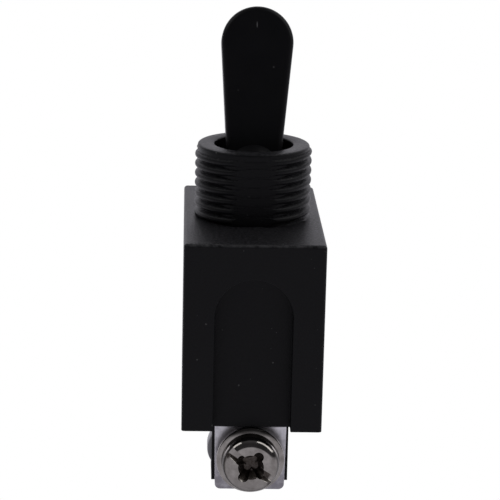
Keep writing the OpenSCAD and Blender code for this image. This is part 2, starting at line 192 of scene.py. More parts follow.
def turned(name, profile, steps=96, along="Z", foot=(0, 0, 0)):
    """A turned solid: a profile of (radius, height) points spun round an axis."""
    piece = line(name, [(r, 0, h) for r, h in profile])
    edit(piece)
    bpy.ops.mesh.select_all(action="SELECT")
    bpy.ops.mesh.spin(steps=steps, angle=2 * math.pi, center=(0, 0, 0), axis=(0, 0, 1))
    done()
    tidy(piece)
    stand = {"Z": Matrix.Identity(4), "-Y": Matrix.Rotation(math.radians(90), 4, "X")}[along]
    piece.data.transform(Matrix.Translation(Vector(foot) * MM) @ stand)
    return piece


def apply(piece, kind, **settings):
    """Adds one modifier and applies it."""
    activate(piece)
    modifier = piece.modifiers.new(kind.lower(), kind)
    for key, value in settings.items():
        setattr(modifier, key, value)
    bpy.ops.object.modifier_apply(modifier=modifier.name)
    return piece


def combine(piece, tool, how):
    apply(piece, "BOOLEAN", operation=how, object=tool, solver="EXACT")
    bpy.data.objects.remove(tool)
    return piece


def carve(piece, *tools):
    for tool in tools:
        combine(piece, tool, "DIFFERENCE")
    return piece


def weld(piece, *parts):
    for part in parts:
        combine(piece, part, "UNION")
    return piece


def keep_within(piece, envelope):
    return combine(piece, envelope, "INTERSECT")


def round_edges(piece, test, radius, segments):
    """Bevels the edges that pass a test."""
    edit(piece)
    pick(piece, "EDGE", test)
    bpy.ops.mesh.bevel(offset=radius * MM, offset_type="OFFSET", segments=segments,
                       affect="EDGES", clamp_overlap=True)
    done()
    return piece


def soften(piece, radius, angle=35):
    """Breaks every sharp edge by a small radius."""
    return apply(piece, "BEVEL", width=radius * MM, segments=2, limit_method="ANGLE",
                 angle_limit=math.radians(angle), use_clamp_overlap=True)


def smooth(piece, angle=35):
    activate(piece)
    bpy.ops.object.shade_smooth_by_angle(angle=math.radians(angle))
    return apply(piece, "WEIGHTED_NORMAL", keep_sharp=True, weight=50)


def copy_turned(piece, name):
    """A copy for the rear end, turned half round the neck's axis, with its own mesh."""
    twin = piece.copy()
    twin.data = piece.data.copy()
    twin.name = name
    twin.data.name = name
    bpy.context.scene.collection.objects.link(twin)
    twin.data.transform(Matrix.Rotation(math.pi, 4, "Z"))
    return twin


def at(value, target):
    """True where a coordinate in metres lies at a place in millimetres."""
    return abs(value / MM - target) < TOUCHING


# ------------------------------------------------------------ sizes

def box_mm(node):
    low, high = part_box(node)
    return low / MM, high / MM


body_low, body_high = box_mm("housing")
BODY_X, BODY_Y = body_high.x, body_high.y
BODY_FLOOR, NECK_TOP = body_low.z, body_high.z
CREST_R, PITCH, THREAD_DEPTH = 6.0, 1.0, 0.52
RIM_R, RIM_FOOT, MOUTH_R = 5.75, NECK_TOP - 0.7, 4.05
FLAT_Y, LAND_Y, LAND_W = 5.57, 5.52, 4.0
SIDE_WALL, END_WALL, TOP_WALL = 1.3, 2.4, 1.6
RECESS_R, RECESS_DEPTH, RECESS_CROWN = 3.9, 1.5, -3.6

PIVOT_Z, LEAN, SIDE_LEAN = 4.4, math.radians(14), math.radians(1)
PADDLE_REACH, TIP_R, ROOT_W, PADDLE_T, PADDLE_ROUND = 17.0, 3.7, 5.35, 3.0, 0.6
BALL_R, TAIL_R, TAIL_L, BORE_R, BORE_TOP = 3.18, 2.4, 11.5, 1.4, 2.78
PIN_R, PIN_L = 0.75, 9.5

plate_low, plate_high = box_mm("front_terminal")
PLATE_FRONT, PLATE_FOOT, PLATE_TOP = plate_low.y, plate_low.z, plate_high.z
PLATE_T, PLATE_W, TAB_W, BEND_R = 0.8, 7.3, 5.5, 1.1
FIT_GAP, BASE_T, RIVET_R = 0.05, 2, 0.85
STOP_X, STOP_Y, STOP_HALF, STOP_TOP = 2.1, 6.4, 1, BODY_FLOOR + 8.18
screw_low, screw_high = box_mm("front_terminal_screw")
HEAD_FACE, SCREW_END = screw_low.y, screw_high.y
SCREW_Z = BODY_FLOOR - 3.5
HEAD_R, HEAD_H, SCREW_R = 2.9, 2.0, 1.5
HEAD_SEAT, SLOT_TURN = HEAD_FACE + HEAD_H, math.radians(35)


# ------------------------------------------------------------ body and neck

def thread_profile(root, crest, pitch):
    """One pitch of a moulded thread, from root to root, with a rounded crest."""
    rise = ((0, 0), (0.04, 0.05), (0.1, 0.24), (0.18, 0.56), (0.26, 0.8), (0.34, 0.93),
            (0.42, 0.985))
    shape = [*rise, (0.5, 1), *((1 - z, height) for z, height in reversed(rise))]
    return [(root + (crest - root) * height, pitch * z) for z, height in shape]


def screw_thread(name, root, crest, pitch, low, high, start, steps=96):
    """A right-hand thread as a solid rod along Z, cut square at both ends."""
    piece = line(name, [(r, 0, z + start) for r, z in thread_profile(root, crest, pitch)])
    turns = math.ceil((high - start) / pitch) + 1
    apply(piece, "SCREW", angle=2 * math.pi, screw_offset=pitch * MM, iterations=turns,
          steps=steps, render_steps=steps, axis="Z")
    tidy(piece)
    # the helix's faces are warped, so they become triangles before anything cuts them
    edit(piece)
    bpy.ops.mesh.select_all(action="SELECT")
    bpy.ops.mesh.quads_convert_to_tris()
    done()
    for height, outward in ((low, -1), (high, 1)):
        edit(piece)
        bpy.ops.mesh.select_all(action="SELECT")
        bpy.ops.mesh.bisect(plane_co=(0, 0, height * MM), plane_no=(0, 0, outward),
                            threshold=1e-7, use_fill=True, clear_outer=True)
        done()
    return tidy(piece)


def make_neck():
    # the crest passes the left-hand side a third of the way up each millimetre
    neck = screw_thread("neck", CREST_R - THREAD_DEPTH, CREST_R, PITCH,
                        low=-0.8, high=RIM_FOOT + 0.25, start=-2.66)
    past_crest, below, runout_top = CREST_R + 0.2, -1.2, RIM_FOOT + 0.45
    keep_within(neck, turned("runout", [
        (0, below), (past_crest, below), (past_crest, RIM_FOOT - 0.15),
        (RIM_R - 0.1, runout_top), (0, runout_top)]))
    keep_within(neck, block("flats", (-8, -FLAT_Y, -3), (8, FLAT_Y, 9)))
    # a plain land down each flat, with sloping sides that the grooves run out on
    half, foot = LAND_W / 2, -0.7
    ramp = [(half + out, LAND_Y - down) for out, down in
            ((-0.5, 0), (0, 0.14), (0.5, 0.44), (1.0, 0.86), (1.4, 1.32))]
    corners = ramp[::-1] + [(-x, y) for x, y in ramp]
    corners += [(-x, -y) for x, y in corners]
    weld(neck, prism("lands", [(x, y, foot) for x, y in corners],
                     (0, 0, RIM_FOOT + 0.1 - foot)))
    bead_r, bead_x = 0.05, 0.02
    for y in (-LAND_Y, LAND_Y):
        weld(neck, rod("parting_bead", bead_r, (bead_x, y, foot), (bead_x, y, RIM_FOOT), 12))
    corner, inset = 0.22, 0.05
    rim = [(0, RIM_FOOT - 0.1), (RIM_R - inset, RIM_FOOT - 0.1), (RIM_R, RIM_FOOT - 0.02)]
    rim += [(RIM_R - corner + corner * math.cos(a), NECK_TOP - corner + corner * math.sin(a))
            for a in (math.radians(d) for d in range(0, 91, 18))]
    rim += [(0, NECK_TOP)]
    return weld(neck, turned("rim", rim))


def make_housing():
    body = block("switch_body", (-BODY_X, -BODY_Y, BODY_FLOOR), (BODY_X, BODY_Y, 0))
    round_edges(body, lambda e: not all(at(v.co.z, BODY_FLOOR) for v in e.verts),
                radius=0.35, segments=4)
    for end in (-1, 1):
        face, floor = end * (BODY_Y + 1), end * (BODY_Y - RECESS_DEPTH)
        crown = arc((0, face, RECESS_CROWN - RECESS_R), RECESS_R, 180, 0, 48)
        carve(body, prism("arch", [(-RECESS_R, face, BODY_FLOOR - 1), *crown,
                                   (RECESS_R, face, BODY_FLOOR - 1)], (0, floor - face, 0)))
        round_edges(body, lambda e: all(
            at(v.co.y, end * BODY_Y) and abs(v.co.x) < (RECESS_R + 0.01) * MM
            and v.co.z < (RECESS_CROWN + 0.01) * MM for v in e.verts)
            and not all(at(v.co.z, BODY_FLOOR) for v in e.verts), radius=0.12, segments=2)
    weld(body, make_neck())
    ceiling, lip_r, over_top = -TOP_WALL - 0.01, MOUTH_R + 0.16, NECK_TOP + 0.5
    mouth = turned("mouth", [
        (0, ceiling), (MOUTH_R + 1.1, ceiling), (MOUTH_R, 1.5),
        (MOUTH_R, NECK_TOP - 0.15), (MOUTH_R + 0.04, NECK_TOP - 0.05),
        (lip_r, NECK_TOP + 0.02), (lip_r, over_top), (0, over_top)])
    groove_r, groove_x = 0.8, 4.8
    groove = rod("groove", groove_r, (-groove_x, 0, PIVOT_Z), (groove_x, 0, PIVOT_Z), 32)
    weld(groove, block("groove_way", (-groove_x, -groove_r, -TOP_WALL - 0.3),
                       (groove_x, groove_r, PIVOT_Z)))
    cavity = block("cavity", (SIDE_WALL - BODY_X, END_WALL - BODY_Y, BODY_FLOOR - 1),
                   (BODY_X - SIDE_WALL, BODY_Y - END_WALL, -TOP_WALL))
    carve(body, mouth, groove, cavity)
    tidy(body)
    return smooth(body, 38)


# ------------------------------------------------------------ lever and pin

def lean_back(piece):
    """Puts what was made upright round the pivot at its place on the lever."""
    piece.data.transform(Matrix.Translation((0, 0, PIVOT_Z * MM))
                         @ Matrix.Rotation(-LEAN, 4, "X"))
    return piece


def make_lever():
    half = PADDLE_T / 2
    tip_z = PADDLE_REACH - TIP_R
    # the sides run straight from the root up to where they touch the tip's circle
    touch = math.degrees(math.asin((TIP_R - ROOT_W / 2) / tip_z))
    paddle = prism("toggle_paddle", [
        (-ROOT_W / 2, -half, 0),
        *arc((0, -half, tip_z), TIP_R, 180 + touch, -touch, 72),
        (ROOT_W / 2, -half, 0)], (0, PADDLE_T, 0))
    round_edges(paddle, lambda e: at(e.verts[0].co.y, e.verts[1].co.y / MM)
                and abs(e.verts[0].co.y) > (half - 0.01) * MM
                and max(v.co.z for v in e.verts) > 0.2 * MM,
                radius=PADDLE_ROUND, segments=6)
    paddle.data.transform(Matrix.Rotation(SIDE_LEAN, 4, "Y"))
    knuckle = ball("knuckle", BALL_R, (0, 0, 0), segments=64, rings=32)
    tail = rod("tail", TAIL_R, (0, 0, -TAIL_L), (0, 0, 0))
    round_edges(tail, lambda e: all(at(v.co.z, -TAIL_L) for v in e.verts),
                radius=0.3, segments=3)
    weld(paddle, knuckle, tail)
    carve(paddle, rod("pin_hole", PIN_R + FIT_GAP, (-5, 0, 0), (5, 0, 0), 48),
          rod("plunger_bore", BORE_R, (0, 0, -TAIL_L - 1), (0, 0, -BORE_TOP), 48))
    tidy(paddle)
    lean_back(paddle)
    return smooth(paddle, 30)


def make_pin():
    half, r, chamfer = PIN_L / 2, PIN_R, 0.15
    pin = turned("pivot_pin", [
        (0, -half), (r - chamfer, -half), (r, chamfer - half),
        (r, half - chamfer), (r - chamfer, half), (0, half)], 48)
    pin.data.transform(Matrix.Rotation(math.radians(90), 4, "Y"))
    lean_back(pin)
    return smooth(pin)


# ------------------------------------------------------------ terminals

def make_base():
    base_x, base_y = BODY_X - SIDE_WALL - FIT_GAP, BODY_Y - END_WALL - FIT_GAP
    plate_back = -PLATE_FRONT - PLATE_T
    base_top = BODY_FLOOR + BASE_T
    base = block("terminal_carrier", (-base_x, -base_y, BODY_FLOOR), (base_x, base_y, base_top))
    front = plate_back - FIT_GAP
    block_x, block_l, block_h = 3.9, 4.4, 6.5
    terminal_block = block("terminal_block", (-block_x, -front, BODY_FLOOR - block_h),
                           (block_x, block_l - front, BODY_FLOOR + 0.5))
    weld(base, copy_turned(terminal_block, "rear_block"), terminal_block)
    tab_low = PLATE_TOP - PLATE_T
    weld(base, block("pedestal", (-TAB_W / 2, FIT_GAP - plate_back, base_top - 0.5),
                     (TAB_W / 2, plate_high.y, tab_low - FIT_GAP)))
    weld(base, block("stop_post", (-STOP_X, STOP_Y - STOP_HALF, base_top - 0.5),
                     (STOP_X, STOP_Y + STOP_HALF, STOP_TOP)))
    way_x, nut_near, nut_far = PLATE_W / 2 + FIT_GAP, 0.95 - front, 3.05 - front
    nut_low, nut_high = SCREW_Z - 2.45, SCREW_Z + 2.45
    for end in (0, 1):
        cutters = [block("plate_way", (-way_x, -base_y - 1, BODY_FLOOR - 1),
                         (way_x, -plate_back + FIT_GAP, BODY_FLOOR + 8)),
                   block("nut_way", (-3, nut_near, nut_low), (2.95, nut_far, nut_high)),
                   block("nut_mouth", (-5, nut_near, nut_low), (-2, nut_far, nut_high)),
                   rod("screw_way", SCREW_R + FIT_GAP, (0, -front - 1, SCREW_Z),
                       (0, SCREW_END + 0.2, SCREW_Z), 48)]
        for cutter in cutters:
            cutter.data.transform(Matrix.Rotation(math.pi * end, 4, "Z"))
        carve(base, *cutters)
    carve(base, rod("rivet_way", RIVET_R, (0, 0, BODY_FLOOR - 1), (0, 0, base_top + 1), 32),
          rod("rivet_seat", 1.45, (0, 0, BODY_FLOOR - 1), (0, 0, BODY_FLOOR + 0.55), 48))
    tidy(base)
    soften(base, 0.1)
    return smooth(base)


def make_plate(name, tab_top, tab_end):
    """A terminal plate at the front end, bent in at its top into a narrower tab."""
    wide_top, back = BODY_FLOOR + 1, PLATE_FRONT + PLATE_T
    taper, corner = 0.97, 0.55
    plate = block(name, (-PLATE_W / 2, PLATE_FRONT, PLATE_FOOT),
                  (PLATE_W / 2, back, wide_top))
    edit(plate)
    pick(plate, "FACE", lambda f: f.normal.z < -0.9)
    bpy.ops.transform.resize(value=(taper, 1, 1), center_override=(0, 0, PLATE_FOOT * MM))
    done()
    round_edges(plate, lambda e: all(at(v.co.z, PLATE_FOOT) for v in e.verts)
                and at(e.verts[0].co.x, e.verts[1].co.x / MM), radius=corner, segments=5)
    tab = block("tab", (-TAB_W / 2, PLATE_FRONT, wide_top - 0.5),
                (TAB_W / 2, back, tab_top - BEND_R))
    edit(tab)
    pick(tab, "FACE", lambda f: f.normal.z > 0.9)
    bpy.ops.mesh.spin(steps=6, angle=math.radians(90),
                      center=(0, (PLATE_FRONT + BEND_R) * MM, (tab_top - BEND_R) * MM),
                      axis=(-1, 0, 0))
    done()
    if max(v.co.z for v in tab.data.vertices) > (tab_top + 0.05) * MM or \
            max(v.co.y for v in tab.data.vertices) < back * MM:
        raise RuntimeError("the terminal's bend went the wrong way")
    edit(tab)
    pick(tab, "FACE", lambda f: f.normal.y > 0.9
         and f.calc_center_median().z > (tab_top - PLATE_T) * MM)
    bpy.ops.mesh.extrude_region_move(TRANSFORM_OT_translate={
        "value": (0, (tab_end - PLATE_FRONT - BEND_R) * MM, 0)})
    done()
    tidy(tab)
    weld(plate, tab)
    carve(plate, rod("screw_hole", SCREW_R + 0.2, (0, PLATE_FRONT - 1, SCREW_Z),
                     (0, back + 1, SCREW_Z)))
    return tidy(plate)


# ------------------------------------------------------------ screws and washers

def make_screw():
    crown_r, drop, flank_h, edge = 1.95, 0.16, 0.8, 0.07
    profile = [(r, HEAD_H - drop * (r / crown_r) ** 2) for r in (0, 0.65, 1.3, crown_r)]
    profile += [(crown_r + (HEAD_R - crown_r) * math.sin(a),
                 flank_h + (HEAD_H - drop - flank_h) * math.cos(a) + 0.012)
                for a in (math.radians(d) for d in (11, 20, 30, 40, 50, 60, 70, 80, 90))]
    profile += [(HEAD_R, edge), (HEAD_R - edge, 0), (0, 0)]
    foot = (0, HEAD_SEAT, SCREW_Z)
    head = turned("screw", profile, 96, "-Y", foot)
    # the slot's upper wall is square and its lower one slants, as worn by a driver
    past, upper, lower, floor = 4, 0.55, -0.1, HEAD_FACE + 0.52
    slot = prism("driver_slot", [
        (-past, HEAD_FACE - 1, upper), (-past, floor, upper), (-past, floor, lower),
        (-past, HEAD_FACE, -0.58), (-past, HEAD_FACE - 1, -1.2)], (2 * past, 0, 0))
    wide, reach, top, sink = 0.58, 1.58, HEAD_FACE - 0.3, 1.75
    wings = []
    for turn in (0, 90):
        wing = prism("wing", [*arc((reach, top, 0), wide, -90, 90, 8),
                              *arc((-reach, top, 0), wide, 90, 270, 8)], (0, sink, 0))
        edit(wing)
        pick(wing, "FACE", lambda f: f.normal.y > 0.9)
        bpy.ops.transform.resize(value=(0.4, 1, 0.55),
                                 center_override=(0, (top + sink) * MM, 0))
        done()
        wing.data.transform(Matrix.Rotation(math.radians(turn), 4, "Y"))
        wings.append(wing)
    well = rod("well", 1.5, (0, top, 0), (0, HEAD_FACE + 1.15, 0), 32, tip_radius=0.7)
    slant = Matrix.Translation((0, 0, SCREW_Z * MM)) @ Matrix.Rotation(SLOT_TURN, 4, "Y")
    for tool in (slot, *wings, well):
        tool.data.transform(slant)
    carve(head, slot, *wings, well)
    tidy(head)
    soften(head, 0.035, 30)
    point = SCREW_END - HEAD_SEAT
    shank = screw_thread("shank", SCREW_R - 0.3, SCREW_R, pitch=0.5,
                         low=-0.2, high=point, start=-1.2, steps=48)
    keep_within(shank, turned("point", [
        (0, -0.5), (2, -0.5), (2, point - 0.8),
        (SCREW_R - 0.35, point + 0.01), (0, point + 0.01)], 48))
    shank.data.transform(Matrix.Translation(Vector(foot) * MM)
                         @ Matrix.Rotation(math.radians(-90), 4, "X"))
    weld(head, shank)
    tidy(head)
    return smooth(head, 32)


def make_washer():
    low, high = box_mm("front_washer")
    r, t, hole, chamfer = high.x, high.y - low.y, 1.57, 0.1
    washer = turned("flat_washer", [
        (hole + 0.05, 0), (r - 0.04, 0), (r, 0.05), (r, t - chamfer), (r - 0.03, t - 0.04),
        (r - chamfer, t), (hole + 0.1, t), (hole, t - 0.06), (hole, 0.05), (hole + 0.05, 0)],
        96, "-Y", (0, high.y, SCREW_Z))
    return smooth(washer, 50)


def make_spring_washer():
    low, high = box_mm("front_spring_washer")
    r, t, hole, chamfer = high.x - 0.15, high.y - low.y, 1.6, 0.08
    ring = turned("lock_washer", [
        (hole + chamfer, 0), (r - chamfer, 0), (r, chamfer), (r, t - chamfer), (r - chamfer, t),
        (hole + chamfer, t), (hole, t - chamfer), (hole, chamfer), (hole + chamfer, 0)],
        96, "-Y", (0, high.y, SCREW_Z))
    split = block("split", (-0.3, -3, -6), (0.3, 3, 0))
    split.data.transform(Matrix.Translation((0, (low.y + high.y) / 2 * MM, SCREW_Z * MM))
                         @ Matrix.Rotation(math.radians(-20), 4, "Z"))
    carve(ring, split)
    return smooth(tidy(ring), 40)


def make_nut():
    low, high = box_mm("front_nut_plate")
    r = (high.z - low.z) / 2
    nut = prism("nut_strip", [
        (high.x, low.y, SCREW_Z - r), *arc((low.x + r, low.y, SCREW_Z), r, 270, 90, 32),
        (high.x, low.y, SCREW_Z + r)], (0, high.y - low.y, 0))
    round_edges(nut, lambda e: at(e.verts[0].co.y, e.verts[1].co.y / MM),
                radius=0.12, segments=2)
    carve(nut, rod("nut_hole", SCREW_R + FIT_GAP, (0, low.y - 1, SCREW_Z),
                   (0, high.y + 1, SCREW_Z), 48))
    return smooth(tidy(nut), 40)


# ------------------------------------------------------------ shaders

class Value:
    """A shader socket, with arithmetic that adds Math nodes."""

    def __init__(self, board, socket):
        self.board, self.socket = board, socket

    def _math(self, operation, *terms):
        return self.board.node("ShaderNodeMath", {"operation": operation},
                               dict(enumerate(terms)))

    def __add__(self, other):
        return self._math("ADD", self, other)

    def __sub__(self, other):
        return self._math("SUBTRACT", self, other)

    def __rsub__(self, other):
        return self._math("SUBTRACT", other, self)

    def __mul__(self, other):
        return self._math("MULTIPLY", self, other)

    def __pow__(self, other):
        return self._math("POWER", self, other)

    def __abs__(self):
        return self._math("ABSOLUTE", self)

    def sign(self):
        return self._math("SIGN", self)

    def below(self, other):
        return self._math("LESS_THAN", self, other)

    def above(self, other):
        return self._math("GREATER_THAN", self, other)

    def at_most(self, other):
        return self._math("MINIMUM", self, other)

    def at_least(self, other):
        return self._math("MAXIMUM", self, other)

    def clamped(self):
        return self.at_least(0).at_most(1)

    __radd__ = __add__
    __rmul__ = __mul__


class Board:
    """A node tree, and the few kinds of node that the finishes share."""

    def __init__(self, tree):
        self.tree = tree
        tree.nodes.clear()

    def node(self, kind, settings=None, inputs=None, out=0):
        """Adds a node: its settings first, then its sockets' values or links."""
        made = self.tree.nodes.new(kind)
        for key, value in (settings or {}).items():
            setattr(made, key, value)
        for key, value in (inputs or {}).items():
            if isinstance(value, Value):
                self.tree.links.new(value.socket, made.inputs[key])
            else:
                made.inputs[key].default_value = value
        return Value(self, made.outputs[out]) if made.outputs else None

    def place(self):
        """Position on the object, in metres."""
        return self.node("ShaderNodeTexCoord", out="Object")

    def split(self, vector):
        """The three parts of a vector."""
        parts = self.node("ShaderNodeSeparateXYZ", inputs={0: vector}).socket.node
        return [Value(self, part) for part in parts.outputs]

    def axes(self):
        return self.split(self.place())

    def noise(self, size_mm, detail=3, rough=0.5, stretch=None):
        place = self.place()
        if stretch:
            place = self.node("ShaderNodeMapping", inputs={0: place, "Scale": stretch})
        return self.node("ShaderNodeTexNoise", inputs={
            "Vector": place, "Scale": 1 / (size_mm * MM), "Detail": detail, "Roughness": rough})

    def specks(self, size_mm, share, seed):
        """Small round marks at scattered places, from 1 at a mark's middle to 0 round it."""
        place = self.node("ShaderNodeMapping", inputs={
            0: self.place(), "Location": (seed * MM, seed * MM, seed * MM)})
        cells = self.node("ShaderNodeTexVoronoi", inputs={
            "Vector": place, "Scale": 1 / (size_mm * MM)})
        which = self.node("ShaderNodeSeparateColor", inputs={
            0: Value(self, cells.socket.node.outputs["Color"])})
        return (1 - cells * 7).at_least(0) * which.below(share)

    def mix(self, factor, first, second):
        """Blends two colours, each a link or three numbers."""
        first, second = (c if isinstance(c, Value) else (*c, 1) for c in (first, second))
        return self.node("ShaderNodeMix", {"data_type": "RGBA"},
                         {0: factor, 6: first, 7: second}, out=2)

    def bump(self, height, reach_mm, strength):
        return self.node("ShaderNodeBump", inputs={
            "Height": height, "Distance": reach_mm * MM, "Strength": strength})

    def surface(self, inputs):
        shader = self.node("ShaderNodeBsdfPrincipled", inputs=inputs)
        self.node("ShaderNodeOutputMaterial", inputs={"Surface": shader})


PLASTIC_IOR = 1.28


def finish_named(name):
    material = bpy.data.materials.new(name)
    material.use_nodes = True
    return material, Board(material.node_tree)


def moulded_black():
    """Satin black moulding: fine eroded grain, faint flow marks and a little dust."""
    material, b = finish_named("moulded_black")
    flow = b.noise(4.5, 3, 0.55)
    grain = b.noise(0.2, 3, 0.65)
    dust = b.specks(0.85, 0.10, 3.1).at_least(b.specks(0.5, 0.06, 9.7) * 0.8)
    _, forward, up = b.split(b.node("ShaderNodeTexCoord", out="Normal"))
    # a thin film and fluff lie on what faces up, and the panel face's front edge gets a painted
    # highlight
    film = (b.noise(0.28, 3, 0.7) * 7 - 3.1).clamped() * (up * 2 - 1).at_least(0)
    fluff = b.specks(0.6, 0.4, 6.3) * (up * 2 - 0.8).clamped()
    z = b.axes()[2]
    panel_face = z.above(-0.5 * MM) * z.below(0.1 * MM)
    edge_highlight = (up * abs(forward) * 2 - 0.25).clamped() * panel_face
    edge_highlight = edge_highlight * (b.noise(0.7, 3, 0.7) * 3 - 0.9).clamped()
    colour = b.mix(flow, (0.0085, 0.0085, 0.0096), (0.0125, 0.0125, 0.0141))
    colour = b.mix(film * 0.36, colour, (0.115, 0.113, 0.124))
    # painted highlight: light grey along the panel face's front edge
    colour = b.mix(edge_highlight * 0.8, colour, (0.15, 0.15, 0.155))
    colour = b.mix((dust * 0.6).at_least(fluff * 0.8), colour, (0.26, 0.26, 0.25))
    b.surface({"Base Color": colour, "IOR": PLASTIC_IOR,
               "Roughness": 0.31 + flow * 0.10 + grain * 0.14 + dust * 0.3,
               "Normal": b.bump(grain + flow * 0.4, 0.024, 1.0)})
    return material


def lever_black():
    """Smoother black of the lever: fine lengthwise draw marks, a nick and dust."""
    material, b = finish_named("lever_black")
    draw = b.noise(0.5, 3, 0.5, (1.0, 1.0, 0.12))
    cloud = b.noise(3.0, 3, 0.5)
    dust = b.specks(0.9, 0.06, 5.3)
    x, _, z = b.axes()
    nick_x, nick_z, nick_wide, nick_tall = 0.15 * MM, 19.4 * MM, 0.07 * MM, 0.22 * MM
    nick = (1 - abs(x - nick_x) * (1 / nick_wide)).at_least(0) \
        * (1.6 - abs(z - nick_z) * (1 / nick_tall)).clamped()
    colour = b.mix(cloud, (0.0088, 0.0088, 0.0099), (0.0118, 0.0118, 0.0133))
    colour = b.mix((dust * 0.45).at_least(nick), colour, (0.24, 0.24, 0.24))
    b.surface({"Base Color": colour, "IOR": PLASTIC_IOR,
               "Roughness": 0.30 + cloud * 0.08 + draw * 0.08 + dust * 0.2,
               "Normal": b.bump(draw * 0.5 + cloud * 0.5, 0.005, 0.5)})
    return material


def nickel_plate():
    """Bright nickel over steel, hazed, with brown grime down in the driver recess."""
    material, b = finish_named("nickel_plate")
    haze = b.noise(0.8, 4, 0.6)
    scratch = b.noise(0.12, 3, 0.6, (1.0, 1.0, 3.0))
    crust = b.noise(0.22, 3, 0.6)
    # millimetres behind the head's face, from the screw's axis, and along and beside the slot
    x, y, z = b.axes()
    depth = (abs(y) * -1 - HEAD_FACE * MM) * (1 / MM)
    upright = (z - SCREW_Z * MM) * (1 / MM)
    across = x * y.sign() * (-1 / MM)
    radius = (across * across + upright * upright) ** 0.5
    along = upright * math.sin(SLOT_TURN) - across * math.cos(SLOT_TURN)
    beside = upright * math.cos(SLOT_TURN) + across * math.sin(SLOT_TURN)
    # grime fills the recess and the slot's slanted wall, but not the slot's ends
    in_slot = beside.above(-0.14)
    below_crown = depth - radius * radius * 0.042
    slanted_wall = beside.below(-0.12) * beside.above(-0.62) * (below_crown * 20 - 0.6)
    inside = (below_crown * 6 - 0.5).clamped().at_least(slanted_wall.at_most(1))
    inside = inside * radius.below(2.75) * depth.below(1.9)
    clean_end = (along * 4 - 4.6).clamped() * in_slot
    open_end = (radius * 4 - 8.4).clamped() * in_slot
    grime = inside * (1 - clean_end * 0.85) * (1 - open_end)
    # painted shade on the head's flank, the face darker low down, and a painted shadow of the
    # body high on the washer
    head_edge = HEAD_R + 0.04
    # painted shade on the head's flank, except near its top
    rim = (radius * 7 - 18.2).clamped() * radius.below(head_edge) \
        * (1.9 - upright * 1.2).clamped()
    low = (upright * -0.6 - 0.7).clamped() * radius.below(head_edge)
    # painted shadow of the body on the washer's top, above the head
    painted_washer_shadow = (upright * 2.2 - 5.4).clamped() * radius.above(head_edge)
    patch = (haze * 2.6 - 0.8).clamped()
    colour = b.mix(patch, (0.32, 0.299, 0.278), (0.52, 0.492, 0.464))
    colour = b.mix(grime * (0.45 + crust * 0.8).at_most(1), colour, (0.072, 0.058, 0.048))
    colour = b.mix(low * 0.5, colour, (0.18, 0.168, 0.158))
    # painted shade on the head's flank and painted shadow on the washer's top, near black
    colour = b.mix((rim * 0.82).at_least(painted_washer_shadow * 0.68), colour, (0.06, 0.056, 0.052))
    b.surface({"Base Color": colour, "Metallic": 1.0,
               "Roughness": 0.05 + haze * 0.10 + grime * 0.36 + rim * 0.3,
               "Normal": b.bump(scratch * 0.15 + haze + grime * crust * 3, 0.012, 0.8)})
    return material


def tin_plate():
    """Matt tin over brass: pale grey with a lilac cast, mottled, with painted shade that darkens
    it lower down.
    """
    material, b = finish_named("tin_plate")
    mottle = b.noise(0.7, 4, 0.6)
    fine = b.noise(0.09, 2, 0.6)
    x, _, z = b.axes()
    # painted shade: lighter at the top and darker towards the foot, broken up by the mottle
    height = ((z - PLATE_FOOT * MM) * (1 / 7 / MM)).clamped()
    low_shade_and_mottle = (1 - height + mottle * 1.5 - 0.75).clamped()
    colour = b.mix(low_shade_and_mottle, (0.95, 0.94, 0.98), (0.37, 0.357, 0.387))
    # painted shadow, near black, where the plate passes the body's edge above the washer
    # painted shadow: a dark patch on the plate right under the body's edge
    painted_shadow_patch = (3.4 - abs(x) * (1 / MM)).clamped() \
        * ((z - (BODY_FLOOR - 0.55) * MM) * (4 / MM)).clamped()
    colour = b.mix(painted_shadow_patch * 0.85, colour, (0.03, 0.03, 0.032))
    b.surface({"Base Color": colour, "Metallic": 0.9,
               "Roughness": 0.24 + mottle * 0.16,
               "Normal": b.bump(fine * 0.5 + mottle * 0.5, 0.006, 0.6)})
    return material


def plain_metal(name, dark, light, roughness):
    """Metal with a soft mottle and fine brush marks, for pieces that hardly show."""
    material, b = finish_named(name)
    mottle = b.noise(0.6, 3, 0.55)
    brushed = b.noise(0.1, 2, 0.5, (1.0, 0.15, 1.0))
    b.surface({"Base Color": b.mix(mottle, dark, light), "Metallic": 1.0,
               "Roughness": roughness + mottle * 0.1 + brushed * 0.08,
               "Normal": b.bump(brushed, 0.004, 0.4)})
    return material


def natural_nylon():
    material, b = finish_named("natural_nylon")
    cloud = b.noise(1.2, 3, 0.5)
    b.surface({"Base Color": b.mix(cloud, (0.70, 0.67, 0.60), (0.80, 0.78, 0.72)),
               "Roughness": 0.42 + cloud * 0.12,
               "Normal": b.bump(b.noise(0.15), 0.004, 0.4)})
    return material


black, lever_finish = moulded_black(), lever_black()
nickel, tin, nylon = nickel_plate(), tin_plate(), natural_nylon()
spring_wire = plain_metal("spring_wire", (0.36, 0.36, 0.38), (0.50, 0.50, 0.52), 0.25)
brass = plain_metal("stamped_brass", (0.60, 0.42, 0.17), (0.78, 0.58, 0.28), 0.28)
dull_nickel = plain_metal("dull_nickel", (0.34, 0.34, 0.35), (0.42, 0.42, 0.43), 0.42)
silver = plain_metal("contact_silver", (0.74, 0.74, 0.71), (0.88, 0.88, 0.86), 0.20)


# ------------------------------------------------------------ the pieces in place

def dress(piece, material, slot, body, *nodes):
    piece.data.materials.clear()
    piece.data.materials.append(material)
    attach(piece, body)
    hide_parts(*nodes)


dress(make_housing(), black, "black_plastic", "body", "housing")
dress(make_base(), black, "black_plastic", "body", "terminal_base")
dress(make_lever(), lever_finish, "lever_plastic", "lever", "lever")
dress(make_pin(), nickel, "nickel_steel", "lever", "lever_pin")

